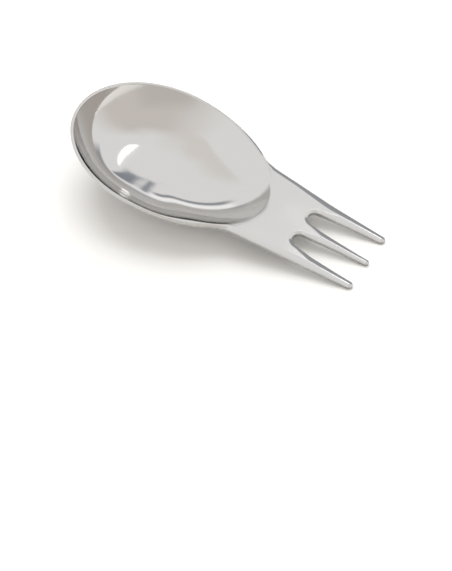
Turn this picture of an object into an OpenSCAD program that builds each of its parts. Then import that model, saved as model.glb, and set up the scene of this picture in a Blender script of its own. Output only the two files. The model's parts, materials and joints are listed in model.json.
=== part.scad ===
// Spork pressed from one blank of sheet steel: an egg-shaped bowl at one end, a short flat
// handle, and three tines at the other end with a round-bottomed slot on each side of the middle one.
//
// The blank's flat top face, the rim plane, is drawn first as z = 0, with x from the bowl's far
// end towards the tine tips and y across. rest_pose() then tips it forward until the bowl's
// belly and the tine tips both touch z = 0, which is how the spork lies on a table.

/* [Sheet] */
// Thickness of the sheet at the handle
sheet_t = 1.6; // [1.3:0.1:2]
// Thickness of the metal at the bowl's rim
rim_t = 0.7; // [0.6:0.1:1]
// Thickness of the metal at the tine tips
tip_t = 1.0; // [0.8:0.1:1.3]

/* [Bowl] */
// Greatest width of the bowl, over the rim
bowl_w = 44.8; // [41:0.2:48]
// Distance from the bowl's far end to its widest place
bowl_far_l = 27; // [24:0.5:29]
// Distance from the widest place to the hollow's end at the handle
hollow_near_l = 33.5; // [31:0.5:34.5]
// Width of the flat land round the hollow
lip_w = 0.8; // [0.7:0.1:1.4]
// How far the hollow's edge is drawn in on each side, where the bowl narrows to the handle
waist_w = 1.3; // [1.1:0.1:1.6]
// Depth of the hollow below the rim plane
hollow_depth = 11.4; // [9:0.2:13]
// Distance from the widest place to the deepest place, towards the handle
deepest_offset = 0; // [0:0.5:4]
// Thickness of the metal at the deepest place
bowl_wall = 0.6; // [0.5:0.1:1]
// Width that the rising wall adds under the hollow's edge at the handle
wall_run = 1.2; // [0.8:0.1:1.6]

/* [Handle] */
// Width where the bowl's flare ends
handle_w = 27; // [24.6:0.2:29]
// Distance from the bowl's widest place to the start of the flare on its side
flare_offset = 24; // [22:0.5:26]
// Length of the flare, along the spork
flare_l = 6; // [5:0.5:7]
// Length of the neck, from the flare's end to the handle's joint with the bowl
neck_l = 6; // [5:0.5:8]
// Length of the handle, from that joint to the round bottoms of the slots
handle_l = 8.4; // [6:0.2:18]

/* [Fork] */
// Width across the tine tips
fork_tip_w = 21.4; // [19:0.2:23]
// Length of the slots, from their round bottoms to the tine tips
slot_l = 21.6; // [18:0.2:23]
// Width of each slot at its round bottom
slot_w = 4.6; // [4.3:0.1:5]
// Width of the middle tine at the slots' round bottoms
middle_tine_w = 4.6; // [4:0.1:5.2]
// Width of the middle tine at its tip
middle_tip_w = 1.7; // [1.3:0.1:2]
// Width of each outer tine at its tip
outer_tip_w = 2.2; // [1.8:0.1:2.6]

/* [Edges] */
// Width of the bevel on the outer upper edges of the fork
edge_w = 2.2; // [1.8:0.1:2.4]
// Depth of that bevel
edge_h = 0.7; // [0.5:0.05:0.75]
// Width of the same bevel at the handle's joint with the bowl
neck_edge_w = 1.4; // [1:0.1:1.8]
// Width of the bevel round the bottoms of the slots
slot_edge_w = 1; // [0.7:0.1:1.3]
// Width of the bevel on the bowl's rim
rim_edge_w = 0.4; // [0.2:0.1:0.5]
// Depth of that bevel
rim_edge_h = 0.3; // [0.2:0.05:0.4]
// Width and depth of the bevel on the lower edges
under_edge = 0.2; // [0.1:0.05:0.3]

/* [Hidden] */

// Steepness of the hollow towards the handle, the sides and the far end: 2 is a parabola, and
// more has a flatter floor and a steeper wall
neck_steep_share = 2.8;
side_steep_share = 3.05;
far_steep_share = 4.85;
// Fullness of the hollow's end at the handle: 2 is half an ellipse
hollow_end_share = 2.1;
// Where the hollow's edge is drawn in and over how much, as shares of a quarter turn
waist_place_share = 0.43;
waist_spread_share = 0.19;
// How the sides of the handle and of the tines run: 1 is straight, more is drawn in first and
// then eases off
side_bow_share = 1.2;
tine_bow_share = 1.5;
// Share of a tine's width that its bevels keep to where it is narrow
bevel_limit_share = 0.46;
// Share of a tine's length over which the bevel along a slot widens
bevel_growth_share = 0.35;
// Share of the land round the hollow that the bevel outside it keeps to
land_share = 0.6;
// Share of the land that the underside keeps flat outside the wall's foot
foot_share = 0.8;
// Share of the tip's half width that is left at the very end
tip_end_share = 0.35;

// Steps round the outline, along the wall and along a tine
neck_steps = 5;
flare_steps = 6;
near_steps = 14;
far_steps = 20;
cut_steps = 12;
wall_steps = 14;
outer_steps = 12;
side_steps = 6;
tine_steps = 8;
tip_steps = 6;
tilt_steps = 12;

// Past the metal that a cut goes through
overrun = 1;

widest_x = bowl_far_l;
deepest_x = widest_x + deepest_offset;
hollow_end_x = widest_x + hollow_reach(0);
flare_x = widest_x + flare_offset;
flare_end_x = flare_x + flare_l;
handle_x = flare_end_x + neck_l;
slot_x = handle_x + handle_l + slot_w / 2;
overall_l = handle_x + handle_l + slot_l;
slot_y = (middle_tine_w + slot_w) / 2;

function mix(a, b, share) = a + (b - a) * share;

// Bent from 0 to 1: straight for a bow share of 1
function bowed(share, bow) = bow * share + (1 - bow) * share * share;

// Half width of the neck, handle and fork, which taper to the tips
function side_share(x) = (x - flare_end_x) / (overall_l - flare_end_x);
function side_y(x) = mix(handle_w / 2, fork_tip_w / 2, bowed(side_share(x), side_bow_share));

function tine_share(x) = (x - slot_x) / (overall_l - slot_x);

// Depth of a bevel of the given width: all slope alike
function bevel_h(width) = width * edge_h / edge_w;

// Half width of the middle tine
function middle_y(x) = mix(middle_tine_w / 2, middle_tip_w / 2, bowed(tine_share(x), tine_bow_share));

// Inner edge of an outer tine
function inner_y(x) =
    mix(slot_y + slot_w / 2, fork_tip_w / 2 - outer_tip_w, bowed(tine_share(x), tine_bow_share));

// Outline of the blank round the bowl: half an ellipse at the far end, part of a longer one
// towards the handle, a flare that is tangent to both the ellipse and the neck's side, and the neck

function ellipse_point(turn, reach) = [widest_x + reach * cos(turn), bowl_w / 2 * sin(turn)];

flare_turn = acos(flare_offset / hollow_near_l);
flare_from = ellipse_point(flare_turn, hollow_near_l);
flare_to = [flare_end_x, handle_w / 2];
flare_from_slope = -bowl_w / 2 / hollow_near_l * cos(flare_turn) / sin(flare_turn);
flare_to_slope = (fork_tip_w - handle_w) / 2 / (overall_l - flare_end_x) * side_bow_share;
// Where the two tangents cross
flare_run = (flare_to[1] - flare_from[1] - flare_to_slope * flare_l) / (flare_from_slope - flare_to_slope);
flare_knee = flare_from + [flare_run, flare_run * flare_from_slope];

function flare_point(share) =
    mix(mix(flare_from, flare_knee, share), mix(flare_knee, flare_to, share), share);

upper_side = concat(
    [for (i = [0 : neck_steps - 1]) let (x = mix(handle_x, flare_end_x, i / neck_steps)) [x, side_y(x)]],
    [for (i = [0 : flare_steps - 1]) flare_point(1 - i / flare_steps)],
    [for (i = [0 : near_steps - 1]) ellipse_point(mix(flare_turn, 90, i / near_steps), hollow_near_l)],
    [for (i = [0 : far_steps - 1]) ellipse_point(mix(90, 180, i / far_steps), bowl_far_l)]);
lower_side = [for (i = [len(upper_side) - 1 : -1 : 0]) [upper_side[i][0], -upper_side[i][1]]];
cut_side = [for (i = [1 : cut_steps - 1]) [handle_x, mix(-1, 1, i / cut_steps) * side_y(handle_x)]];
outline = concat(upper_side, [[0, 0]], lower_side, cut_side);
round_count = len(outline);

// Outward direction at a point of the outline, across it and level
function outward(i) =
    let (along = outline[(i + round_count - 1) % round_count] - outline[(i + 1) % round_count])
    [-along[1], along[0]] / norm(along);

// The outline moved inwards by a width, with the points on the cut kept on the cut
function inset_point(i, width) =
    outline[i][0] >= handle_x
    ? [handle_x, outline[i][1] * (1 - width / side_y(handle_x))]
    : outline[i] - width * outward(i);

// How far a point of the outline is along the way from the bowl's widest place to the handle
function neck_share(x) = let (s = max(0, min(1, (x - widest_x) / (handle_x - widest_x)))) s * s * (3 - 2 * s);

// How far the hollow's edge is drawn in at a turn from the handle's side: a bell curve
function waist(turn) =
    waist_w * exp(-pow((abs(turn) / 90 - waist_place_share) / waist_spread_share, 2));

// Edge of the hollow on the ray from the widest place through a point of the outline
function hollow_reach(turn) =
    let (across = bowl_w / 2 - lip_w, far = bowl_far_l - lip_w, n = hollow_end_share)
    cos(turn) < 0
    ? 1 / sqrt(pow(cos(turn) / far, 2) + pow(sin(turn) / across, 2)) - waist(turn)
    : pow(pow(cos(turn) / hollow_near_l, n) + pow(abs(sin(turn)) / across, n), -1 / n) - waist(turn);

function hollow_edge(i) =
    let (turn = atan2(outline[i][1], outline[i][0] - widest_x))
    [widest_x, 0] + hollow_reach(turn) * [cos(turn), sin(turn)];

// Foot of the wall on the underside: outside the hollow's edge by the wall's run, or by less
// where the land is narrow
function foot_edge(i, land_edge) =
    let (edge = hollow_edge(i), land = land_edge - edge, reach = norm(land))
    edge + land / reach * min(wall_run, reach * foot_share);

function level(ring, z) = [for (p = ring) [p[0], p[1], z]];

deepest = [deepest_x, 0];

// Steepness on the line from the deepest place to a point of an edge
function steepness(point) =
    let (way = point - deepest, along = way[0] / norm(way))
    mix(side_steep_share, along > 0 ? neck_steep_share : far_steep_share, along * along);

// One ring of the hollow, or of the wall's outer side, at a share of the way out to its edge
function dish_ring(edge, share, top, depth) =
    [for (i = [0 : round_count - 1])
        let (p = mix(deepest, edge[i], share))
        [p[0], p[1], mix(top[i], -depth, 1 - pow(share, steepness(edge[i])))]];

hollow_rim = [for (i = [0 : round_count - 1]) hollow_edge(i)];
share_at_neck = [for (p = outline) neck_share(p[0])];
land_w_at = [for (i = [0 : round_count - 1]) norm(outline[i] - hollow_rim[i])];
bevel_w_at = [for (i = [0 : round_count - 1])
    min(mix(rim_edge_w, neck_edge_w, share_at_neck[i]), land_w_at[i] * land_share)];
bevel_h_at = [for (s = share_at_neck) mix(rim_edge_h, bevel_h(neck_edge_w), s)];
metal_at = [for (s = share_at_neck) mix(rim_t, sheet_t, s)];
land_top = [for (i = [0 : round_count - 1]) inset_point(i, bevel_w_at[i])];
land_under = [for (i = [0 : round_count - 1]) inset_point(i, under_edge)];
foot = [for (i = [0 : round_count - 1]) foot_edge(i, land_under[i])];

function lowered(ring, depths) = [for (i = [0 : round_count - 1]) [ring[i][0], ring[i][1], -depths[i]]];

belly_depth = hollow_depth + bowl_wall;
flat_top = [for (i = [0 : round_count - 1]) 0];
flat_under = -metal_at;

bowl_rings = concat(
    [for (k = [1 : wall_steps]) dish_ring(hollow_rim, k / wall_steps, flat_top, hollow_depth)],
    [level(land_top, 0)],
    [lowered(outline, bevel_h_at)],
    [lowered(outline, [for (t = metal_at) t - under_edge])],
    [lowered(land_under, metal_at)],
    [for (k = [outer_steps : -1 : 1]) dish_ring(foot, k / outer_steps, flat_under, belly_depth)]);

// Closed skin through rings that all have the same number of points, closed by a point or by
// a flat face at each end
module skin(rings, first, last) {
    n = len(rings[0]);
    points = concat([for (ring = rings) each ring], first, last);
    sides = [for (k = [0 : len(rings) - 2]) for (i = [0 : n - 1])
        let (a = k * n + i, b = k * n + (i + 1) % n)
        each [[a, b, b + n], [a, b + n, a + n]]];
    top = len(rings) * n;
    bottom = top + len(first);
    last_ring = (len(rings) - 1) * n;
    first_cap = len(first) == 0
        ? [[for (i = [n - 1 : -1 : 0]) i]]
        : [for (i = [0 : n - 1]) [top, (i + 1) % n, i]];
    last_cap = len(last) == 0
        ? [[for (i = [0 : n - 1]) last_ring + i]]
        : [for (i = [0 : n - 1]) [bottom, last_ring + i, last_ring + (i + 1) % n]];
    polyhedron(points = points, faces = concat(sides, first_cap, last_cap), convexity = 6);
}

// Cross-section of a flat piece of the blank, square to its length: bevelled above, on its left
// and right, and below
function section(x, right_y, left_y, right_bevel, left_bevel, metal) = [
    [x, right_y + right_bevel, 0],
    [x, left_y - left_bevel, 0],
    [x, left_y, -bevel_h(left_bevel)],
    [x, left_y, -metal + under_edge],
    [x, left_y - under_edge, -metal],
    [x, right_y + under_edge, -metal],
    [x, right_y, -metal + under_edge],
    [x, right_y, -bevel_h(right_bevel)]];

// Rest pose: the plane under the spork touches the belly and the tine tips

foot_x = hollow_end_x + min(wall_run, foot_share * (handle_x - hollow_end_x));
belly_rise = belly_depth - sheet_t;

// Share of the way from the deepest place to the wall's foot where the belly touches a plane
// that rises at the given slope
function touch_share(slope) =
    pow(slope * (foot_x - deepest_x) / (belly_rise * neck_steep_share), 1 / (neck_steep_share - 1));

function rest_slope(steps) =
    steps == 0
    ? (belly_depth - tip_t) / (overall_l - deepest_x)
    : let (s = touch_share(rest_slope(steps - 1)))
      (belly_depth - belly_rise * pow(s, neck_steep_share) - tip_t) / (overall_l - mix(deepest_x, foot_x, s));

rest_tilt = atan(rest_slope(tilt_steps));
rest_height = overall_l * sin(rest_tilt) + tip_t * cos(rest_tilt);
tip_bevel_h = bevel_h(middle_tip_w * tip_end_share * bevel_limit_share);
front_x = overall_l * cos(rest_tilt) - tip_bevel_h * sin(rest_tilt);
back_x = -(rim_t - under_edge) * sin(rest_tilt);

module rest_pose() {
    translate([-(front_x + back_x) / 2, 0, rest_height]) rotate([0, rest_tilt, 0]) children();
}

// Width of the bevel along a slot, before it is held to the tine's width
function slot_bevel(x) = mix(slot_edge_w, edge_w, min(1, tine_share(x) / bevel_growth_share));

// Tine given by its middle line and half width at each place along it, with a round tip; its
// left bevel is as wide as the fork's, or runs along a slot as the right one does
module tine(middle_of, half_of, left_bevel_of, tip_w) {
    tip_x = overall_l - tip_w / 2;
    stations = concat(
        [for (i = [0 : tine_steps]) mix(slot_x, tip_x, i / tine_steps)],
        [for (i = [1 : tip_steps]) mix(tip_x, overall_l, sin(90 * i / tip_steps))]);
    skin([for (i = [0 : len(stations) - 1])
        let (
            x = stations[i],
            end_share = max(0, (x - tip_x) / (overall_l - tip_x)),
            width_share = max(tip_end_share, sqrt(1 - end_share * end_share)),
            half_w = half_of(x) * width_share,
            most = 2 * half_w * bevel_limit_share,
            right_bevel = min(slot_bevel(x), most),
            left_bevel = min(left_bevel_of(x), most),
            metal = mix(sheet_t, tip_t, tine_share(x)))
        section(x, middle_of(x) - half_w, middle_of(x) + half_w, right_bevel, left_bevel, metal)], [], []);
}

module bowl() {
    color("silver") rest_pose()
    skin(bowl_rings, [[deepest_x, 0, -hollow_depth]], [[deepest_x, 0, -belly_depth]]);
}

// Half of a slot's round bottom, cut into the handle's end
module slot_bottom() {
    translate([slot_x, slot_y, -sheet_t - overrun])
    cylinder(h = sheet_t + 2 * overrun, d = slot_w, $fn = 64);
    translate([slot_x, slot_y, -bevel_h(slot_edge_w)])
    cylinder(h = bevel_h(slot_edge_w), d1 = slot_w, d2 = slot_w + 2 * slot_edge_w, $fn = 64);
}

module handle() {
    color("silver") rest_pose()
    difference() {
        skin([for (i = [0 : side_steps])
            let (
                x = mix(handle_x, slot_x, i / side_steps),
                bevel_w = mix(neck_edge_w, edge_w, i / side_steps))
            section(x, -side_y(x), side_y(x), bevel_w, bevel_w, sheet_t)], [], []);
        slot_bottom();
        mirror([0, 1, 0]) slot_bottom();
    }
}

module outer_tine() {
    tine(
        function(x) (side_y(x) + inner_y(x)) / 2,
        function(x) (side_y(x) - inner_y(x)) / 2,
        function(x) edge_w,
        outer_tip_w);
}

module tine_left() {
    color("silver") rest_pose() outer_tine();
}

module tine_middle() {
    color("silver") rest_pose()
    tine(function(x) 0, function(x) middle_y(x), function(x) slot_bevel(x), middle_tip_w);
}

module tine_right() {
    color("silver") rest_pose() mirror([0, 1, 0]) outer_tine();
}

bowl();
handle();
tine_left();
tine_middle();
tine_right();
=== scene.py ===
"""Polished steel spork, pressed from one blank, lying on a pale studio floor.

The CAD frame holds five solids that meet face to face: the bowl, the handle and three tines.
Each is replaced here by a finer closed mesh of the same region, worked out from the same sizes,
with rounded edges, a smooth hollow and normals that run on from one region to the next.

Shapes are worked out in millimetres in the blank's own frame: x from the bowl's far end towards
the tine tips, y across, z up from the flat top face. Blank.rest() then lays them down as the
CAD model lies.
"""

import json
import logging
import math
from dataclasses import dataclass, field
from enum import Enum
from typing import Callable

import bpy
import numpy as np
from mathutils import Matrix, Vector


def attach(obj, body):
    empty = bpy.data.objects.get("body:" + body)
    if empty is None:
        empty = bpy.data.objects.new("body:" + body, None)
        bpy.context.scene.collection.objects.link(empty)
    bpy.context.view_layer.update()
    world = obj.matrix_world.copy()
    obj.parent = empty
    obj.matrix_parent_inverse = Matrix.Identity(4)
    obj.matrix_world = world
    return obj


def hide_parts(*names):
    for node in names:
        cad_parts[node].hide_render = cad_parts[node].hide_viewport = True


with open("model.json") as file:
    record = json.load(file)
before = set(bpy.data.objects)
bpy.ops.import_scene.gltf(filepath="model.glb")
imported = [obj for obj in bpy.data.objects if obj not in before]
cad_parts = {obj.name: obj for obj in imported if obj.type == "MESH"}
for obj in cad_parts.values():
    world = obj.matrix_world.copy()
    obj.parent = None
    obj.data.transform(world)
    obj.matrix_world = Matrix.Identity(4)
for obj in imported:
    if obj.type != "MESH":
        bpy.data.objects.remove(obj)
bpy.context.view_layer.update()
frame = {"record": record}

log = logging.getLogger("spork")
Array = np.ndarray
Value = float | np.ndarray
Triple = tuple[float, float, float]
Socket = bpy.types.NodeSocket
Feeds = dict[str | int, object]
MM = 0.001
TINY = 1e-12
# Points that fall on the same step of a ten-thousandth of a millimetre are welded
WELD_STEPS = 1e4
UP = np.array([0.0, 0.0, 1.0])
TIPWARDS = np.array([1.0, 0.0, 0.0])


# Shared curves

def mix(a: Value, b: Value, share: Value) -> Value:
    """Straight mix: a at share 0, b at share 1, and a + (b - a) * share between."""
    return a + (b - a) * share


def bowed(share: Array, bow: float) -> Array:
    """Share bent from 0 to 1: bow times the share plus the rest times its square."""
    return bow * share + (1 - bow) * share * share


def smooth_step(share: Array) -> Array:
    """Three times the square less twice the cube of a share held between 0 and 1."""
    s = np.clip(share, 0, 1)
    return s * s * (3 - 2 * s)


def smooth_most(value: Array, blend: Array) -> Array:
    """The larger of a value and zero; within the blend width (value + blend)^2 / (4 blend)."""
    near = np.clip(blend - np.abs(value), 0, None) / blend
    return np.maximum(value, 0) + near * near * blend / 4


def turned_curve(lengths: tuple[float, ...], turns: tuple[float, ...], count: int,
                 steps: int = 400, evenness: float = 0.3) -> tuple[Array, Array]:
    """Curve given by how far it has turned from level at each length along it.

    The direction angle is interpolated between the given stations and summed up, and the
    result is scaled so that the curve runs from (0, 0) to (1, 1): inwards-out and down. The
    points stand closer together where the curve turns faster.

    Args:
        lengths: lengths along the curve, rising from 0.
        turns: angle below level at those lengths, in degrees.
        count: number of points wanted.
        steps: number of steps in which the curve is summed up.
        evenness: turn, in radians, that the whole length counts as in the spread of points.

    Returns:
        Shares outwards and shares downwards of the points.
    """
    fine = np.linspace(0, lengths[-1], steps)
    angle = np.radians(np.interp(fine, lengths, turns))
    step = np.gradient(fine)
    out = np.cumsum(np.cos(angle) * step) - math.cos(angle[0]) * step[0]
    down = np.cumsum(np.sin(angle) * step) - math.sin(angle[0]) * step[0]
    effort = np.cumsum(np.abs(np.gradient(angle)) + evenness / len(fine))
    pick = np.interp(np.linspace(effort[0], effort[-1], count), effort, fine)
    return np.interp(pick, fine, out / out[-1]), np.interp(pick, fine, down / down[-1])


def direction(turn: Value, height: Value) -> Array:
    """Unit directions: turned from +X towards +Y, and raised above level, in radians."""
    level = np.cos(height)
    return np.stack([level * np.cos(turn), level * np.sin(turn), np.sin(height)], -1)


# Grids of points and the meshes made of them

def grid_cells(rows: int, columns: int) -> Array:
    """Corner numbers round each cell of a grid whose points are counted row by row."""
    number = np.arange(rows * columns).reshape(rows, columns)
    return np.stack([number[:-1, :-1], number[:-1, 1:], number[1:, 1:], number[1:, :-1]], -1)


def in_scene(name: str, data: bpy.types.ID) -> bpy.types.Object:
    """New object in the scene.

    Args:
        name: the object's name.
        data: its mesh, light or camera.

    Returns:
        The object.
    """
    thing = bpy.data.objects.new(name, data)
    bpy.context.scene.collection.objects.link(thing)
    return thing


@dataclass
class Patch:
    """Grid of points with its normals and how worn it is (wear plus painted shade on the cut
    walls), all in the blank's frame.
    """

    points: Array
    normals: Array
    wear: Array

    @staticmethod
    def curved(points: Array, hint: Array, wear: Value = 0.0) -> "Patch":
        """Patch whose normals are the cross product of its two grid directions.

        Args:
            points: array rows x columns x 3.
            hint: direction that the normals roughly point to, one or one per point.
            wear: how worn the surface is, plus painted shade that darkens cut walls, one number or
                one per point.

        Returns:
            The patch.
        """
        down = np.gradient(points, axis=0)
        along = np.gradient(points, axis=1)
        normal = np.cross(down, along)
        side = np.sign((normal * hint).sum(-1))
        size = np.linalg.norm(normal, axis=-1)
        normal = normal * (side / np.maximum(size, TINY))[..., None]
        return Patch(points, normal, np.broadcast_to(wear, points.shape[:2]))

    @staticmethod
    def flat(points: Array, normal: Array) -> "Patch":
        """Patch in one plane, with that plane's normal everywhere and no wear."""
        return Patch(points, np.broadcast_to(normal, points.shape), np.zeros(points.shape[:2]))


@dataclass
class Skin:
    """Closed mesh put together from patches that share their border points, and flat caps."""

    patches: list[Patch]
    caps: list[Patch] = field(default_factory=list)

    def cap(self, normal: Array, *rows: Array) -> None:
        """Takes a flat many-sided face round the given rows of points, end to end."""
        self.caps.append(Patch.flat(np.concatenate(rows)[None], normal))

    @staticmethod
    def _cells(patch: Patch) -> Array:
        """Corner numbers of a patch's cells, ordered so that the cells face outwards.

        Args:
            patch: the patch.

        Returns:
            Array with the four corners of one cell to a row.
        """
        cells = grid_cells(*patch.points.shape[:2])
        p = patch.points
        face = np.cross(p[1:, 1:] - p[:-1, :-1], p[1:, :-1] - p[:-1, 1:])
        if (face * patch.normals[:-1, :-1]).sum() < 0:
            cells = cells[..., ::-1]
        return cells.reshape(-1, 4)

    def _corners(self, weld: Array) -> tuple[Array, Array]:
        """Corners of all faces in one row, and how many each face has.

        A cell drops each corner that is welded to the one before it, and is left out if fewer
        than three remain. A cap goes round its normal.

        Args:
            weld: number of the welded point that each point becomes.

        Returns:
            Numbers of the points before the welding, and the number of corners of each face.
        """
        starts = np.cumsum([0] + [part.wear.size for part in self.patches + self.caps])
        cells = np.concatenate([start + self._cells(patch)
                                for start, patch in zip(starts, self.patches)])
        welded = weld[cells]
        keep = welded != np.roll(welded, 1, axis=1)
        sizes = keep.sum(1)
        whole = sizes > 2
        corners, sizes = [cells[whole][keep[whole]]], [sizes[whole]]
        for start, cap in zip(starts[len(self.patches):], self.caps):
            number = start + np.arange(cap.wear.size)
            spoke = cap.points[0] - cap.points[0].mean(0)
            turn = np.cross(spoke, np.roll(spoke, -1, axis=0)).sum(0)
            corners.append(number if turn @ cap.normals[0, 0] > 0 else number[::-1])
            sizes.append([len(number)])
        return np.concatenate(corners), np.concatenate(sizes)

    def build(self, name: str, blank: "Blank") -> bpy.types.Object:
        """Makes the object: welds equal points, then sets the faces, the wear and painted shade,
        and the normals.

        Args:
            name: name of the object and its mesh.
            blank: the blank that says how the part lies.

        Returns:
            The new object, at the origin.
        """
        parts = self.patches + self.caps
        points = np.concatenate([part.points.reshape(-1, 3) for part in parts])
        normals = np.concatenate([part.normals.reshape(-1, 3) for part in parts])
        wear = np.concatenate([part.wear.ravel() for part in parts])
        key = np.round(points * WELD_STEPS).astype(np.int64)
        _, first, weld = np.unique(key, axis=0, return_index=True, return_inverse=True)
        weld = weld.reshape(-1)
        corners, sizes = self._corners(weld)

        mesh = bpy.data.meshes.new(name)
        mesh.vertices.add(len(first))
        mesh.vertices.foreach_set("co", (blank.rest(points[first]) * MM).ravel())
        mesh.loops.add(len(corners))
        mesh.loops.foreach_set("vertex_index", weld[corners].astype(np.int32))
        mesh.polygons.add(len(sizes))
        mesh.polygons.foreach_set("loop_start", (np.cumsum(sizes) - sizes).astype(np.int32))
        mesh.polygons.foreach_set("use_smooth", np.ones(len(sizes), dtype=bool))
        mesh.update(calc_edges=True)
        # Per-point wear, plus painted shade that darkens the cut walls
        layer = mesh.attributes.new("wear", "FLOAT", "POINT")
        layer.data.foreach_set("value", wear[first].astype(np.float32))
        mesh.normals_split_custom_set(blank.turn(normals[corners]).tolist())
        return in_scene(name, mesh)


# The blank: sizes and shared lines

@dataclass
class Blank:
    """Sizes of the pressed blank in millimetres, and the lines that its regions share."""

    # Thickness of the handle, the bowl's rim and the tine tips
    sheet: float = 1.6
    rim_sheet: float = 0.7
    tip_sheet: float = 1.0
    # Outline, with each x counted from the bowl's far end
    bowl_width: float = 44.8
    far_length: float = 27.0
    near_length: float = 33.5
    flare_offset: float = 24.0
    flare_end_x: float = 57.0
    handle_x: float = 63.0
    mount_x: float = 68.0
    handle_width: float = 27.0
    slot_x: float = 73.7
    slot_y: float = 4.6
    slot_radius: float = 2.3
    length: float = 93.0
    fork_width: float = 21.4
    middle_width: float = 4.6
    middle_tip_width: float = 1.7
    outer_tip_width: float = 2.2
    side_bow: float = 1.2
    tine_bow: float = 1.5
    # Widths and depths of the edges
    edge_width: float = 2.2
    edge_slope: float = 0.39
    fall_power: float = 0.85
    neck_edge_width: float = 1.4
    slot_edge_width: float = 1.0
    slot_edge_growth: float = 0.35
    rim_edge_width: float = 0.45
    rim_edge_fall: float = 0.4
    under_edge: float = 0.2
    edge_limit: float = 0.46
    # Bevel's profile: lengths along it, and how far it has turned down there in degrees
    bevel_lengths: tuple[float, ...] = (0, 0.1, 0.98, 1.12)
    bevel_turns: tuple[float, ...] = (0, 19, 22, 90)
    profile_count: int = 20
    # Wear on the bevel, wear plus painted shade on the cut walls, and the shares of the way out
    # over the bevel at which they start and grow
    bevel_wear: float = 0.3
    cut_shade_and_wear: float = 2.0
    wear_start: float = 0.45
    wear_run: float = 0.5
    cut_start: float = 0.93

    def __post_init__(self) -> None:
        """Reads how the CAD part lies from the mount on its handle, and works out the edge."""
        mount = next(m for m in frame["record"]["mounts"] if m["name"] == "handle_top")
        axis, place = np.array(mount["axis"]), np.array(mount["pos_m"]) / MM
        tilt = math.atan2(axis[0], axis[2])
        c, s = math.cos(tilt), math.sin(tilt)
        self.turning = np.array([[c, 0, s], [0, 1, 0], [-s, 0, c]])
        self.shift = place - self.turning @ np.array([self.mount_x, 0, 0])
        # Long shallow bevel, then a small radius down to the wall; and a plain quarter circle
        self.bevel = turned_curve(self.bevel_lengths, self.bevel_turns, self.profile_count)
        self.round = turned_curve((0, 1), (0, 90), self.profile_count)

    def turn(self, directions: Array) -> Array:
        """Directions of the blank turned to how it lies."""
        return directions @ self.turning.T

    def rest(self, points: Array) -> Array:
        """Points of the blank turned and moved to where it lies, in millimetres."""
        return points @ self.turning.T + self.shift

    def side_y(self, x: Value) -> Value:
        """Half width of neck, handle and fork: bowed from the handle's width to the fork's."""
        share = (x - self.flare_end_x) / (self.length - self.flare_end_x)
        return mix(self.handle_width / 2, self.fork_width / 2, bowed(share, self.side_bow))

    def tine_share(self, x: Array) -> Array:
        """How far x is along the tines, from the slots' round bottoms to the tips."""
        return (x - self.slot_x) / (self.length - self.slot_x)

    def middle_y(self, x: Array) -> Array:
        """Half width of the middle tine, bowed from its root to its tip."""
        share = bowed(self.tine_share(x), self.tine_bow)
        return mix(self.middle_width / 2, self.middle_tip_width / 2, share)

    def inner_y(self, x: Array) -> Array:
        """Inner edge of an outer tine, bowed from the slot's edge to the tip's."""
        root, tip = self.slot_y + self.slot_radius, self.fork_width / 2 - self.outer_tip_width
        return mix(root, tip, bowed(self.tine_share(x), self.tine_bow))

    def metal(self, x: Array) -> Array:
        """Thickness: the sheet's up to the slots, then falling straight to the tips'."""
        return mix(self.sheet, self.tip_sheet, np.clip(self.tine_share(x), 0, 1))

    def edge(self, line: Array, outward: Array, width: Array, fall: Array,
             metal: Array, curve_share: Value = 1.0) -> Patch:
        """Edge of the metal carried along a line: bevel, wall and lower rounding.

        A point is the line's point moved inwards by the profile's width share times the
        width there, and down by its depth share times the fall there; the lower rounding is a
        quarter circle. Wear grows over the outer half of the profile, and grows again to the
        cut wall's wear and painted shade, times the curve share. The painted shade darkens the
        wall's colour where the wall mirrors the shadowed floor.

        Args:
            line: points of the outline, n x 2.
            outward: level unit directions out of the metal, n x 2.
            width: width of the bevel at each point.
            fall: depth of the bevel at each point.
            metal: thickness at each point.
            curve_share: 1 for the long shallow bevel and 0 for a plain round, at each point.

        Returns:
            Patch with one row for each point and one column for each profile point.
        """
        share = np.broadcast_to(curve_share, width.shape)[:, None]
        out, down = (mix(plain, long, share) for plain, long in zip(self.round, self.bevel))
        under_out, under_down = (self.under_edge * curve[::-1] for curve in self.round)
        inset = np.concatenate([(1 - out) * width[:, None],
                                np.broadcast_to(self.under_edge - under_out, out.shape)], 1)
        depth = np.concatenate([down * fall[:, None], metal[:, None] - under_down], 1)
        points = np.empty((*inset.shape, 3))
        points[..., :2] = line[:, None] - outward[:, None] * inset[..., None]
        points[..., 2] = -depth
        hint = np.concatenate([outward, np.zeros((len(line), 1))], 1)[:, None]
        bevel = self.bevel_wear * smooth_step((out - self.wear_start) / self.wear_run)
        cut = share * smooth_step((out - self.cut_start) / (1 - self.cut_start))
        # On the cut walls: wear plus painted shade, a darker colour that stands in for the shadowed
        # floor the walls mirror
        wall = np.broadcast_to(mix(self.bevel_wear, self.cut_shade_and_wear, share), out.shape)
        return Patch.curved(points, hint, np.concatenate([mix(bevel, self.cut_shade_and_wear, cut), wall], 1))

    def handle_bevel(self, x: Value) -> Value:
        """Bevel's width on the handle's sides: from the neck's straight to the fork's."""
        share = (x - self.handle_x) / (self.slot_x - self.handle_x)
        return mix(self.neck_edge_width, self.edge_width, share)

    def slot_bevel(self, x: Array) -> Array:
        """Bevel's width along a slot: it widens over the first part of the tines."""
        growth = np.clip(self.tine_share(x) / self.slot_edge_growth, 0, 1)
        return mix(self.slot_edge_width, self.edge_width, growth)

    def bevel_fall(self, width: Value) -> Value:
        """Bevel's depth: a fixed slope, a little more where the bevel is narrow."""
        return self.edge_slope * self.edge_width * (width / self.edge_width) ** self.fall_power


# The regions of the blank

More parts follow.
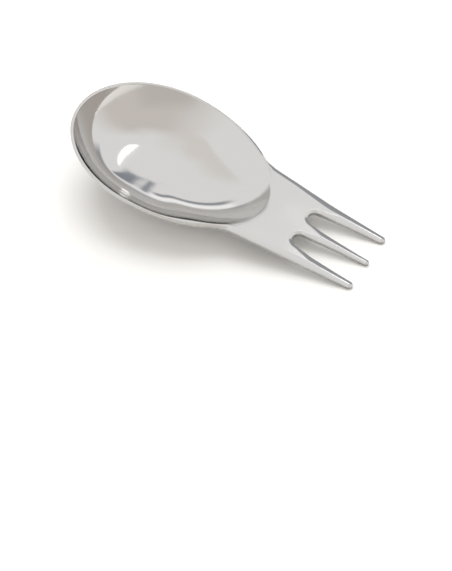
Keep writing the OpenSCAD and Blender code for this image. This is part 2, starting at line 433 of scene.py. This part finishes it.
@dataclass
class Region:
    """Region of the blank that is a piece of its own and stands for one CAD node."""

    blank: Blank

    def skin(self) -> Skin:
        """Closed skin of the region, which each kind of region works out."""
        raise NotImplementedError

    def make(self, node: str, steel: bpy.types.Material) -> None:
        """Builds the piece, gives it its finish and says which CAD node it stands for.

        Args:
            node: the CAD node that it replaces.
            steel: the finish.
        """
        piece = self.skin().build(f"spork_{node}", self.blank)
        piece.data.materials.append(steel)
        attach(piece, "root")
        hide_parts(node)
        log.info("%s stands for %s: %d faces", piece.name, node, len(piece.data.polygons))


@dataclass
class Bowl(Region):
    """The bowl: a hollow inside a flat lip, its rim and the belly under it."""

    lip: float = 0.8
    depth: float = 11.4
    deepest_x: float = 27.0
    wall: float = 0.6
    # Powers with which the hollow rises
    neck_steepness: float = 2.8
    side_steepness: float = 3.05
    far_steepness: float = 4.85
    # Power of the hollow's outline towards the neck, and its waist
    end_power: float = 2.1
    waist: float = 1.3
    waist_turn: float = 38.7
    waist_spread: float = 17.1
    # Most of the lip that the bevel takes, and how far out the belly's foot stands
    land_share: float = 0.6
    wall_run: float = 1.2
    foot_share: float = 0.8
    # Rounding of the hollow's edge and of the belly's foot, at the rim and at the neck
    rim_blend: float = 0.22
    neck_blend: float = 0.9
    under_rim_blend: float = 0.12
    under_neck_blend: float = 0.7
    # Run before the cut over which the side's directions turn square to it
    square_run: float = 4.0
    # Points along the outline, and rings in the inner and outer zone of each dish
    neck_count: int = 16
    flare_count: int = 30
    near_count: int = 70
    far_count: int = 90
    cut_count: int = 24
    outer_zone: float = 0.9
    hollow_rings: tuple[int, int] = (56, 34)
    belly_rings: tuple[int, int] = (30, 16)
    land_rings: int = 9

    def __post_init__(self) -> None:
        """Works out the outline, its outward directions and the values along it."""
        b = self.blank
        self.outline = self._outline()
        # The outline's first points lie along the side, and the rest on the cut
        self.side_count = len(self.outline) - self.cut_count + 1
        x = self.outline[:, 0]
        self.share = smooth_step((x - b.far_length) / (b.handle_x - b.far_length))
        self.fall = mix(b.rim_edge_fall, b.bevel_fall(b.neck_edge_width), self.share)
        self.metal = mix(b.rim_sheet, b.sheet, self.share)
        self.outward = self._outward()
        self.hollow_edge = self._hollow_edge()
        land = np.linalg.norm(self.outline - self.hollow_edge, axis=1)
        width = mix(b.rim_edge_width, b.neck_edge_width, self.share)
        self.width = np.minimum(width, self.land_share * land)

    def _outline(self) -> Array:
        """Outline of the bowl's region, counted from the cut's +y corner round the far end.

        Half an ellipse at the far end, part of a longer one towards the handle, a flare that
        is a parabola between two tangents, the neck's side, the same mirrored, and the cut.

        Returns:
            Points n x 2.
        """
        b = self.blank
        turn = math.acos(b.flare_offset / b.near_length)

        def ellipse(angle: Value, reach: float) -> Array:
            """Points of the ellipse round the widest place."""
            x = b.far_length + reach * np.cos(angle)
            return np.stack([x, b.bowl_width / 2 * np.sin(angle)], -1)

        start = ellipse(np.array(turn), b.near_length)
        end = np.array([b.flare_end_x, b.handle_width / 2])
        slope = -b.bowl_width / 2 / b.near_length * math.cos(turn) / math.sin(turn)
        end_slope = (b.fork_width - b.handle_width) / 2 / (b.length - b.flare_end_x) * b.side_bow
        run = (end[1] - start[1] - end_slope * (end[0] - start[0])) / (slope - end_slope)
        knee = start + np.array([run, run * slope])
        s = np.linspace(1, 0, self.flare_count, endpoint=False)[:, None]
        flare = mix(mix(start, knee, s), mix(knee, end, s), s)
        near = np.linspace(turn, math.pi / 2, self.near_count, endpoint=False)
        far = np.linspace(math.pi / 2, math.pi, self.far_count, endpoint=False)
        x = np.linspace(b.handle_x, b.flare_end_x, self.neck_count, endpoint=False)
        upper = np.concatenate([np.stack([x, b.side_y(x)], -1), flare,
                                ellipse(near, b.near_length), ellipse(far, b.far_length)])
        lower = upper[::-1] * np.array([1, -1])
        y = np.linspace(-1, 1, self.cut_count + 1)[1:-1] * b.side_y(b.handle_x)
        cut = np.stack([np.full_like(y, b.handle_x), y], -1)
        return np.concatenate([upper, [[0.0, 0.0]], lower, cut])

    def _outward(self) -> Array:
        """Outward level directions along the side, turned square to the cut at its corners.

        Returns:
            Unit directions n x 2.
        """
        b = self.blank
        side = self.outline[:self.side_count]
        along = np.gradient(side, axis=0)
        out = np.stack([along[:, 1], -along[:, 0]], -1)
        out /= np.linalg.norm(out, axis=1, keepdims=True)
        out *= np.sign((out * (side - np.array([b.far_length, 0]))).sum(1, keepdims=True))
        square = np.stack([np.zeros(len(side)), np.sign(side[:, 1])], -1)
        share = smooth_step((side[:, 0] - b.handle_x + self.square_run) / self.square_run)
        out = mix(out, square, share[:, None])
        return out / np.linalg.norm(out, axis=1, keepdims=True)

    def _hollow_edge(self) -> Array:
        """Edge of the hollow on the ray from the widest place through each outline point.

        Half an ellipse at the far end and half a superellipse towards the handle, drawn in a
        little at the waist on each side by a bell curve of the ray's turn.

        Returns:
            Points n x 2.
        """
        b = self.blank
        ray = self.outline - np.array([b.far_length, 0])
        turn = np.arctan2(ray[:, 1], ray[:, 0])
        c, s = np.cos(turn), np.abs(np.sin(turn))
        across, far = b.bowl_width / 2 - self.lip, b.far_length - self.lip
        reach_far = 1 / np.sqrt((c / far) ** 2 + (s / across) ** 2)
        n = self.end_power
        reach_near = ((np.abs(c) / b.near_length) ** n + (s / across) ** n) ** (-1 / n)
        off_waist = (np.degrees(np.abs(turn)) - self.waist_turn) / self.waist_spread
        reach = np.where(c < 0, reach_far, reach_near) - self.waist * np.exp(-off_waist ** 2)
        return np.array([b.far_length, 0]) + reach[:, None] * np.stack([c, np.sin(turn)], -1)

    def _inset(self, width: Array) -> Array:
        """The outline moved inwards by a width; on the cut it only moves along the cut.

        Args:
            width: how far each point is moved.

        Returns:
            Points n x 2.
        """
        moved = self.outline.copy()
        n = self.side_count
        moved[:n] -= self.outward * width[:n, None]
        moved[n:, 1] *= 1 - width[n:] / self.blank.side_y(self.blank.handle_x)
        return moved

    def _dish(self, edge: Array, land: Array, top: Array, depth: float,
              counts: tuple[int, int], blend: Array) -> Array:
        """Rings of a dish from its deepest place out over its edge to the end of the flat land.

        The height above the flat is minus (depth - top) times (1 - share^steepness) as far as
        the edge, and goes on rising at the edge's slope beyond it; smooth_most() then rounds
        the corner between that and the flat. The steepness goes from the sides' to the neck's
        or the far end's with the square of the cosine of the direction.

        Args:
            edge: the dish's edge, n x 2.
            land: outer end of the flat land, n x 2.
            top: depth of the flat land below the rim plane, n.
            depth: depth of the deepest place below the rim plane.
            counts: numbers of rings in the dish's inner and outer zone.
            blend: half width in height of the rounded corner, n.

        Returns:
            Points rings x n x 3.
        """
        deepest = np.array([self.deepest_x, 0])
        zone = self.outer_zone
        shares = np.concatenate([np.linspace(0, zone, counts[0], endpoint=False),
                                 np.linspace(zone, 1, counts[1])])[:, None]
        land_shares = np.linspace(0, 1, self.land_rings + 1)[1:]
        dish = mix(deepest, edge, shares[..., None])
        flat = mix(edge, land, land_shares[:, None, None])
        fall = depth - top
        way = edge - deepest
        size = np.linalg.norm(way, axis=1)
        along = way[:, 0] / size
        end = np.where(along > 0, self.neck_steepness, self.far_steepness)
        steepness = mix(self.side_steepness, end, along * along)
        below = fall * (1 - shares ** steepness)
        slope = fall * steepness / size
        beyond = -slope * np.linalg.norm(flat - edge, axis=2)
        height = smooth_most(np.concatenate([below, beyond]), blend)
        ring = np.concatenate([dish, flat])
        return np.concatenate([ring, -(top + height)[..., None]], 2)

    def _dish_patch(self, rings: Array, hint: Array) -> Patch:
        """Patch of a dish, with normals that run on across the closing line and the pole.

        Args:
            rings: the dish's rings, rings x n x 3.
            hint: direction that the normals roughly point to.

        Returns:
            The patch, with each ring's first point repeated at its end.
        """
        wrapped = np.concatenate([rings[:, -1:], rings, rings[:, :2]], 1)
        normals = Patch.curved(wrapped, hint).normals[:, 1:-1].copy()
        normals[0] = normals[1].mean(0) / np.linalg.norm(normals[1].mean(0))
        return Patch(wrapped[:, 1:-1], normals, np.zeros(normals.shape[:2]))

    def skin(self) -> Skin:
        """Skin of the bowl: the hollow, the belly, the edge between them and the cut.

        Returns:
            The closed skin.
        """
        b = self.blank
        n = self.side_count
        blend = mix(self.rim_blend, self.neck_blend, self.share)
        top = self._dish(self.hollow_edge, self._inset(self.width), np.zeros(len(blend)),
                         self.depth, self.hollow_rings, blend)
        under_edge = self._inset(np.full(len(blend), b.under_edge))
        land = under_edge - self.hollow_edge
        reach = np.linalg.norm(land, axis=1, keepdims=True)
        run = np.minimum(self.wall_run, reach * self.foot_share)
        foot = self.hollow_edge + land / reach * run
        under_blend = mix(self.under_rim_blend, self.under_neck_blend, self.share)
        under = self._dish(foot, under_edge, self.metal, self.depth + self.wall,
                           self.belly_rings, under_blend)
        edge = b.edge(self.outline[:n], self.outward, self.width[:n], self.fall[:n],
                      self.metal[:n], self.share[:n])
        # The border lines of the dishes carry the small drop of their rounded corners
        edge.points[:, 0] = top[-1, :n]
        edge.points[:, -1] = under[-1, :n]
        skin = Skin([self._dish_patch(top, UP), self._dish_patch(under, -UP), edge])
        skin.cap(TIPWARDS, edge.points[0], under[-1, n:][::-1], edge.points[-1][::-1], top[-1, n:])
        return skin


@dataclass
class Handle(Region):
    """The flat handle between the bowl and the tines, with the slots' round bottoms."""

    side_count: int = 24
    arc_count: int = 48
    flat_count: int = 8

    def _end(self, inset: float, side_inset: float) -> Array:
        """The handle's end towards the tines, for edges moved inwards by a width.

        From -y to +y: across an outer tine's root, round a slot's bottom, across the middle
        tine's root, round the other slot's bottom and across the other outer root.

        Args:
            inset: how far the slots' edges are moved into the metal.
            side_inset: how far the outer sides are moved inwards.

        Returns:
            Points n x 2.
        """
        b = self.blank
        radius = b.slot_radius + inset
        angle = np.linspace(-math.pi / 2, math.pi / 2, self.arc_count)
        arc = np.stack([b.slot_x - radius * np.cos(angle), radius * np.sin(angle)], -1)[1:-1]
        side = b.side_y(b.slot_x) - side_inset
        outer = np.linspace(-side, -(b.slot_y + radius), self.flat_count)
        middle = np.linspace(-(b.slot_y - radius), b.slot_y - radius, self.flat_count)
        rows = [np.stack([np.full_like(y, b.slot_x), y], -1) for y in (outer, middle, -outer[::-1])]
        slot = np.array([0, b.slot_y])
        return np.concatenate([rows[0], arc - slot, rows[1], arc + slot, rows[2]])

    def _face(self, inset: float, side_inset: Callable[[Value], Value], z: float,
              normal: Array) -> Patch:
        """Top or bottom face: straight lines from the bowl's cut to the handle's end.

        A line keeps the same share of the half width, so that the outermost follow the sides.

        Args:
            inset: how far the face's edge is from the slots.
            side_inset: how far it is inside the outer sides, for each x.
            z: height of the face.
            normal: its normal.

        Returns:
            The patch, with one row for each station along the handle.
        """
        b = self.blank
        end = self._end(inset, side_inset(b.slot_x))
        share = end[:, 1] / (b.side_y(end[:, 0]) - side_inset(end[:, 0]))
        along = np.linspace(0, 1, self.side_count)[:, None]
        x = mix(b.handle_x, end[:, 0], along)
        points = np.stack([x, share * (b.side_y(x) - side_inset(x)), np.full_like(x, z)], -1)
        return Patch.flat(points, normal)

    def _edges(self, sign: int) -> tuple[Patch, Patch]:
        """Edges on one side: along the outer side, and half round the slot's bottom.

        Args:
            sign: 1 for the side at +y, -1 for the other.

        Returns:
            The outer side's patch and the slot's.
        """
        b = self.blank
        x = np.linspace(b.handle_x, b.slot_x, self.side_count)
        angle = np.linspace(-math.pi / 2, math.pi / 2, self.arc_count)
        away = np.stack([np.cos(angle), -np.sin(angle)], -1)
        centre = np.array([b.slot_x, sign * b.slot_y])
        side = np.stack([x, sign * b.side_y(x)], -1)
        lines = ((side, np.broadcast_to([0, sign], side.shape), b.handle_bevel(x)),
                 (centre - away * b.slot_radius, away, np.full_like(angle, b.slot_edge_width)))
        return tuple(b.edge(line, outward, width, b.bevel_fall(width), np.full_like(width, b.sheet))
                     for line, outward, width in lines)

    def skin(self) -> Skin:
        """Skin of the handle: two faces, four edges, the cut and the roots of the tines.

        Returns:
            The closed skin.
        """
        b = self.blank
        top = self._face(b.slot_edge_width, b.handle_bevel, 0.0, UP)
        under = self._face(b.under_edge, lambda x: b.under_edge + 0 * x, -b.sheet, -UP)
        (high_side, high_slot), (low_side, low_slot) = (self._edges(sign) for sign in (1, -1))
        skin = Skin([top, under, high_side, low_side, high_slot, low_slot])
        # Cut towards the bowl
        skin.cap(-TIPWARDS, top.points[0], high_side.points[0][1:-1], under.points[0][::-1],
                 low_side.points[0][1:-1][::-1])
        # Roots of the tines
        step = self.flat_count + self.arc_count - 2
        for number, left, right in ((0, low_side.points[-1], low_slot.points[0]),
                                    (1, low_slot.points[-1], high_slot.points[0]),
                                    (2, high_slot.points[-1], high_side.points[-1])):
            root = slice(number * step, number * step + self.flat_count)
            skin.cap(TIPWARDS, top.points[-1, root], right[1:-1], under.points[-1, root][::-1],
                     left[1:-1][::-1])
        return skin


class TineSide(Enum):
    """Which tine, as seen from the bowl."""

    LEFT = 1
    MIDDLE = 0
    RIGHT = -1


@dataclass
class Tine(Region):
    """One tine, from the slots' round bottoms to its rounded tip."""

    place: TineSide
    along_count: int = 40
    tip_count: int = 14
    flat_count: int = 8

    def _edges(self, x: Array) -> tuple[Array, Array]:
        """Lower and upper y of the tine at each x.

        Args:
            x: places along the blank.

        Returns:
            The lower and the upper y.
        """
        b = self.blank
        if self.place is TineSide.MIDDLE:
            return -b.middle_y(x), b.middle_y(x)
        low, high = b.inner_y(x), b.side_y(x)
        return (low, high) if self.place is TineSide.LEFT else (-high, -low)

    def _half(self, upper: bool) -> tuple[Array, Array, Array]:
        """One long side from the root round to the end of the tip.

        The straight part follows the tine's edge; the tip is a quarter circle round the
        middle line.

        Args:
            upper: whether it is the side with the larger y.

        Returns:
            Points n x 2, outward directions n x 2, and half widths n.
        """
        b = self.blank
        middle_tine = self.place is TineSide.MIDDLE
        reach = (b.middle_tip_width if middle_tine else b.outer_tip_width) / 2
        x = np.linspace(b.slot_x, b.length - reach, self.along_count)
        low, high = self._edges(x)
        sign = 1 if upper else -1
        half = (high - low) / 2
        middle = (high[-1] + low[-1]) / 2
        angle = np.linspace(math.pi / 2, 0, self.tip_count)[1:]
        c, s = np.cos(angle), sign * np.sin(angle)
        tip = np.stack([x[-1] + reach * c, middle + half[-1] * s], -1)
        line = np.concatenate([np.stack([x, high if upper else low], -1), tip])
        outward = np.concatenate([np.stack([0 * x, sign + 0 * x], -1), np.stack([c, s], -1)])
        return line, outward, np.concatenate([half, np.full(len(angle), half[-1])])

    def skin(self) -> Skin:
        """Skin of the tine: one edge round its sides and tip, two faces and the root.

        Returns:
            The closed skin.
        """
        b = self.blank
        edges = {}
        for upper, outer in ((True, TineSide.LEFT), (False, TineSide.RIGHT)):
            line, outward, half = self._half(upper)
            x = line[:, 0]
            # The fork's bevel on the outside, and a slot's elsewhere
            bevel = b.edge_width if self.place is outer else b.slot_bevel(x)
            width = np.minimum(bevel, 2 * half * b.edge_limit)
            edges[upper] = (line, outward, width, b.bevel_fall(width), b.metal(x))
        # One strip all the way round, so that its normals run on over the tip
        strip = b.edge(*(np.concatenate([up, low[::-1][1:]]) for up, low in zip(*edges.values())))
        n = len(edges[True][0])
        high, low = strip.points[:n], strip.points[n - 1:][::-1]
        across = np.linspace(0, 1, self.flat_count)[None, :, None]
        top = mix(low[:, 0][:, None], high[:, 0][:, None], across)
        under = mix(low[:, -1][:, None], high[:, -1][:, None], across)
        skin = Skin([strip, Patch.flat(top, UP), Patch.curved(under, -UP)])
        skin.cap(-TIPWARDS, top[0], high[0][1:-1], under[0][::-1], low[0][1:-1][::-1])
        return skin


# Finishes

@dataclass(frozen=True)
class Nodes:
    """Node tree of a finish, a board or the world, with short ways to add to it."""

    tree: bpy.types.NodeTree

    def feed(self, node: bpy.types.Node, feeds: Feeds) -> None:
        """Sets inputs of a node.

        Args:
            node: the node.
            feeds: for each input, by name or number, its value or the output that feeds it.
        """
        for socket, source in feeds.items():
            if isinstance(source, Socket):
                self.tree.links.new(source, node.inputs[socket])
            else:
                node.inputs[socket].default_value = source

    def add(self, kind: str, out: str, feeds: Feeds, mode: str = "") -> Socket:
        """Adds a node.

        Args:
            kind: the node's type.
            out: name of the output that is wanted.
            feeds: its inputs, as for feed().
            mode: what a Math node does, a Mix node mixes or an Attribute node reads.

        Returns:
            The output.
        """
        node = self.tree.nodes.new(kind)
        if kind == "ShaderNodeMath":
            node.operation = mode
        elif kind == "ShaderNodeMix":
            node.data_type = mode
        elif kind == "ShaderNodeAttribute":
            node.attribute_name = mode
        self.feed(node, feeds)
        return node.outputs[out]


def new_material(name: str) -> tuple[bpy.types.Material, Nodes]:
    """New material with nodes.

    Args:
        name: the material's name.

    Returns:
        The material and its nodes.
    """
    material = bpy.data.materials.new(name)
    material.use_nodes = True
    return material, Nodes(material.node_tree)


@dataclass(frozen=True)
class PolishedSteel:
    """Mirror-polished stainless steel with faint buffing marks, slightly dulled edges, and painted
    shade that darkens the cut walls.
    """

    colour: Triple = (0.655, 0.645, 0.632)
    # Darker colour for worn edges, also used as painted shade on the cut walls
    worn_and_shaded_colour: Triple = (0.40, 0.395, 0.39)
    roughness: float = 0.045
    uneven: float = 0.05
    worn_roughness: float = 0.2
    cloud_scale: float = 90.0
    cloud_detail: float = 4.0
    cloud_range: tuple[float, float] = (0.35, 0.75)
    chip_scale: float = 900.0
    chip_detail: float = 3.0
    # Each set of scratches: its turn in radians, and how fine it is along x, y and z
    scratches: tuple[tuple[float, Triple], ...] = (
        (0.5, (700, 9000, 700)), (-0.9, (8000, 600, 700)))
    scratch_share: float = 0.012
    scratch_height: float = 0.0002

    def _scratches(self, nodes: Nodes, place: Socket) -> Socket:
        """Normals bent by sets of fine scratches, each a noise stretched along one direction.

        Args:
            nodes: the material's nodes.
            place: places on the object.

        Returns:
            The normals.
        """
        marks = []
        for turn, stretch in self.scratches:
            lay = nodes.add("ShaderNodeMapping", "Vector", {
                "Vector": place, "Rotation": (0, 0, turn), "Scale": stretch})
            marks.append(nodes.add("ShaderNodeTexNoise", "Fac", {"Vector": lay, "Scale": 1.0}))
        both = nodes.add("ShaderNodeMath", "Value", {0: marks[0], 1: marks[1]}, "ADD")
        return nodes.add("ShaderNodeBump", "Normal", {
            "Strength": self.scratch_share, "Distance": self.scratch_height, "Height": both})

    def make(self, name: str) -> bpy.types.Material:
        """Builds the node material.

        Roughness is the base value plus a cloudy variation. Where the mesh marks wear, it goes
        over to the worn roughness and a darker colour, broken up by fine noise. On the cut walls
        that darker colour is painted shade, standing in for the shadowed floor that they mirror.

        Args:
            name: the material's name.

        Returns:
            The material.
        """
        material, nodes = new_material(name)
        place = nodes.add("ShaderNodeTexCoord", "Object", {})
        cloud = nodes.add("ShaderNodeTexNoise", "Fac", {
            "Vector": place, "Scale": self.cloud_scale, "Detail": self.cloud_detail})
        uneven = nodes.add("ShaderNodeMapRange", "Result", {
            "Value": cloud, "From Min": self.cloud_range[0], "From Max": self.cloud_range[1],
            "To Min": self.roughness, "To Max": self.roughness + self.uneven})
        chips = nodes.add("ShaderNodeTexNoise", "Fac", {
            "Vector": place, "Scale": self.chip_scale, "Detail": self.chip_detail})
        # Wear from the mesh, which on the cut walls is painted shade, broken up by fine noise
        wear = nodes.add("ShaderNodeAttribute", "Fac", {}, "wear")
        worn_and_shaded = nodes.add("ShaderNodeMath", "Value", {0: wear, 1: chips}, "MULTIPLY")
        rough = nodes.add("ShaderNodeMix", "Result", {
            "A": uneven, "B": self.worn_roughness, "Factor": worn_and_shaded}, "FLOAT")
        # Colour goes darker where worn, and darker still on the cut walls, where it is painted
        # shade
        tint = nodes.add("ShaderNodeMix", "Result", {
            "A": (*self.colour, 1), "B": (*self.worn_and_shaded_colour, 1), "Factor": worn_and_shaded}, "RGBA")
        nodes.feed(nodes.tree.nodes["Principled BSDF"], {
            "Metallic": 1.0, "Base Color": tint, "Roughness": rough,
            "Normal": self._scratches(nodes, place)})
        return material


# Studio

@dataclass(frozen=True)
class Card:
    """Plain board or lamp face that the polished steel mirrors, out of the camera's sight.

    Its four corners are directions as seen from its centre point: turn from +X towards +Y, and
    height above the floor, in degrees. They go round the board from its first corner, and it
    fades out towards its four edges.
    """

    name: str
    corners: tuple[tuple[float, float], ...]
    colour: Triple
    strength: float = 1.0
    # Share of the board over which it fades in, from its first side to its fourth
    soft: tuple[float, float, float, float] = (0.2, 0.2, 0.2, 0.2)
    distance: float = 3.0
    centre: Triple = (0.0, 0.0, 0.0)
    across_count: int = 60
    up_count: int = 40

    def _grid(self) -> tuple[Array, Array]:
        """Directions mixed between the corners across and up, and how much each covers.

        The cover is the product over the four sides of the smooth step of the distance from
        that side, over the share in which the board fades.

        Returns:
            Points rows x columns x 3 in metres, and covers rows x columns.
        """
        first, second, third, fourth = np.radians(np.array(self.corners))
        across, up = np.meshgrid(np.linspace(0, 1, self.across_count),
                                 np.linspace(0, 1, self.up_count), indexing="ij")
        low = mix(first, second, across[..., None])
        high = mix(fourth, third, across[..., None])
        turn, height = np.moveaxis(mix(low, high, up[..., None]), -1, 0)
        bottom, right, top, left = self.soft
        cover = (smooth_step(up / bottom) * smooth_step((1 - across) / right)
                 * smooth_step((1 - up) / top) * smooth_step(across / left))
        return direction(turn, height) * self.distance + np.array(self.centre), cover

    def _glow(self) -> bpy.types.Material:
        """Plain glow, clear where the board does not cover.

        Returns:
            The material.
        """
        material, nodes = new_material(self.name)
        nodes.tree.nodes.clear()
        glow = nodes.add("ShaderNodeEmission", "Emission", {
            "Color": (*self.colour, 1), "Strength": self.strength})
        clear = nodes.add("ShaderNodeBsdfTransparent", "BSDF", {})
        cover = nodes.add("ShaderNodeAttribute", "Fac", {}, "cover")
        both = nodes.add("ShaderNodeMixShader", "Shader", {"Fac": cover, 1: clear, 2: glow})
        nodes.feed(nodes.tree.nodes.new("ShaderNodeOutputMaterial"), {"Surface": both})
        return material

    def make(self) -> None:
        """Builds the board, which only mirrored rays see."""
        points, cover = self._grid()
        mesh = bpy.data.meshes.new(self.name)
        cells = grid_cells(*cover.shape).reshape(-1, 4)
        mesh.from_pydata(points.reshape(-1, 3).tolist(), [], cells.tolist())
        layer = mesh.attributes.new("cover", "FLOAT", "POINT")
        layer.data.foreach_set("value", cover.ravel().astype(np.float32))
        mesh.materials.append(self._glow())
        card = in_scene(self.name, mesh)
        card.visible_camera = False
        card.visible_shadow = False
        card.visible_diffuse = False


@dataclass
class Studio:
    """Pale floor, soft light from all round, one soft lamp and the camera."""

    sky_colour: Triple = (0.80, 0.775, 0.735)
    floor_colour: Triple = (0.93, 0.93, 0.93)
    floor_size: float = 6.0
    floor_roughness: float = 0.9
    floor_grain: float = 400.0
    floor_paler: float = 1.01
    lamp_turn: float = 128.0
    lamp_height: float = 58.0
    lamp_distance: float = 0.9
    lamp_size: float = 0.7
    lamp_power: float = 4.8
    camera_turn: float = 29.0315
    camera_height: float = 47.6473
    camera_distance: float = 0.9
    camera_aim: Triple = (0.014966, -0.025272, -0.000303)
    camera_clip: tuple[float, float] = (0.01, 50.0)
    sensor_width: float = 36.0
    focal_pixels: float = 3298.89
    picture_height: float = 571.0

    def _background(self) -> None:
        """World: plain white where it is seen, mirrored or seen through, else a weaker light."""
        world = bpy.data.worlds.new("studio")
        bpy.context.scene.world = world
        world.use_nodes = True
        nodes = Nodes(world.node_tree)
        path = nodes.tree.nodes.new("ShaderNodeLightPath").outputs
        seen = path["Is Camera Ray"]
        for kind in ("Is Glossy Ray", "Is Transmission Ray"):
            seen = nodes.add("ShaderNodeMath", "Value", {0: seen, 1: path[kind]}, "MAXIMUM")
        sky = nodes.add("ShaderNodeMix", "Result", {
            "A": (*self.sky_colour, 1), "B": (1, 1, 1, 1), "Factor": seen}, "RGBA")
        nodes.feed(nodes.tree.nodes["Background"], {"Color": sky})

    def _floor(self) -> None:
        """Large pale floor under the spork."""
        half = self.floor_size / 2
        mesh = bpy.data.meshes.new("floor")
        corners = [(-half, -half, 0), (half, -half, 0), (half, half, 0), (-half, half, 0)]
        mesh.from_pydata(corners, [], [(0, 1, 2, 3)])
        material, nodes = new_material("floor_paper")
        place = nodes.add("ShaderNodeTexCoord", "Object", {})
        grain = nodes.add("ShaderNodeTexNoise", "Fac", {"Vector": place, "Scale": self.floor_grain})
        paler = [c * self.floor_paler for c in self.floor_colour]
        paper = nodes.add("ShaderNodeMix", "Result", {
            "A": (*self.floor_colour, 1), "B": (*paler, 1), "Factor": grain}, "RGBA")
        nodes.feed(nodes.tree.nodes["Principled BSDF"], {
            "Base Color": paper, "Roughness": self.floor_roughness, "Specular IOR Level": 0.0})
        mesh.materials.append(material)
        in_scene("floor", mesh)

    def _lamp(self) -> None:
        """Soft square lamp behind the spork and to its side, which casts the shadow."""
        away = Vector(direction(math.radians(self.lamp_turn), math.radians(self.lamp_height)))
        data = bpy.data.lights.new("soft_lamp", "AREA")
        data.shape = "SQUARE"
        data.size = self.lamp_size
        data.energy = self.lamp_power
        lamp = in_scene("soft_lamp", data)
        lamp.location = away * self.lamp_distance
        lamp.rotation_euler = away.to_track_quat("Z", "Y").to_euler()
        # The steel mirrors the softbox card instead, which stands in another direction
        lamp.visible_glossy = False

    def _camera(self) -> None:
        """Camera at the photograph's angle, with its turn counted from -Y towards +X."""
        turn, height = math.radians(self.camera_turn - 90), math.radians(self.camera_height)
        back = Vector(direction(turn, height))
        data = bpy.data.cameras.new("camera")
        data.sensor_width = self.sensor_width
        data.lens = self.focal_pixels * self.sensor_width / self.picture_height
        data.clip_start, data.clip_end = self.camera_clip
        camera = in_scene("camera", data)
        camera.location = Vector(self.camera_aim) + back * self.camera_distance
        camera.rotation_mode = "QUATERNION"
        camera.rotation_quaternion = back.to_track_quat("Z", "Y")
        bpy.context.scene.camera = camera

    def build(self, cards: list[Card]) -> None:
        """Sets up the whole studio.

        Args:
            cards: boards that the steel mirrors.
        """
        self._background()
        self._floor()
        self._lamp()
        self._camera()
        for card in cards:
            card.make()
        bpy.context.scene.view_settings.view_transform = "Standard"


CARDS = [
    Card("softbox", ((74, 62), (79, 66.5), (88.3, 55.5), (89, 44.5)), (1, 1, 1),
         strength=3.2, soft=(0.1, 0.08, 0.08, 0.1), distance=2.6),
    Card("dark_window", ((100.5, 30), (87, 27), (93.5, 49), (98, 50.5)),
         (0.32, 0.35, 0.39), soft=(0.12, 0.1, 0.06, 0.1), distance=2.8),
    Card("dark_beam", ((146, 28), (99, 34), (99, 40), (146, 35)),
         (0.35, 0.37, 0.40), soft=(0.3, 0.1, 0.4, 0.3), distance=2.8),
    Card("white_screen", ((142, 21), (98, 27), (98, 34), (142, 28)), (1, 1, 1),
         strength=1.25, soft=(0.2, 0.1, 0.1, 0.15), distance=2.9),
    Card("neck_wall", ((178, -1), (136, -1), (136, 21), (178, 24)),
         (0.57, 0.565, 0.55), soft=(0.02, 0.3, 0.15, 0.12), distance=2.95),
    Card("far_wall", ((150, -1), (50, -1), (50, 30), (150, 22)),
         (0.41, 0.425, 0.45), soft=(0.02, 0.2, 0.15, 0.1)),
    Card("warm_ceiling", ((108, 49.5), (86.4, 49.5), (86, 75), (116, 75)),
         (0.90, 0.868, 0.835), soft=(0.28, 0.25, 0.3, 0.25), distance=1.2,
         centre=(-0.04, -0.7, -0.7)),
    Card("warm_corner", ((-115, -1), (-30, -1), (-40, 35), (-105, 35)),
         (0.69, 0.655, 0.62), soft=(0.01, 0.35, 0.6, 0.35), distance=2.95),
    Card("warm_wall", ((-125, -1), (40, -1), (40, 84), (-125, 84)),
         (0.80, 0.752, 0.712), soft=(0.01, 0.3, 0.32, 0.3)),
]


def main() -> None:
    """Builds the studio and the five regions of the blank in order."""
    logging.basicConfig(level=logging.INFO)
    Studio().build(CARDS)
    blank = Blank()
    steel = PolishedSteel().make("polished_steel")
    Bowl(blank).make("bowl", steel)
    Handle(blank).make("handle", steel)
    for place in TineSide:
        Tine(blank, place).make(f"tine_{place.name.lower()}", steel)


if __name__ == "__main__":
    main()
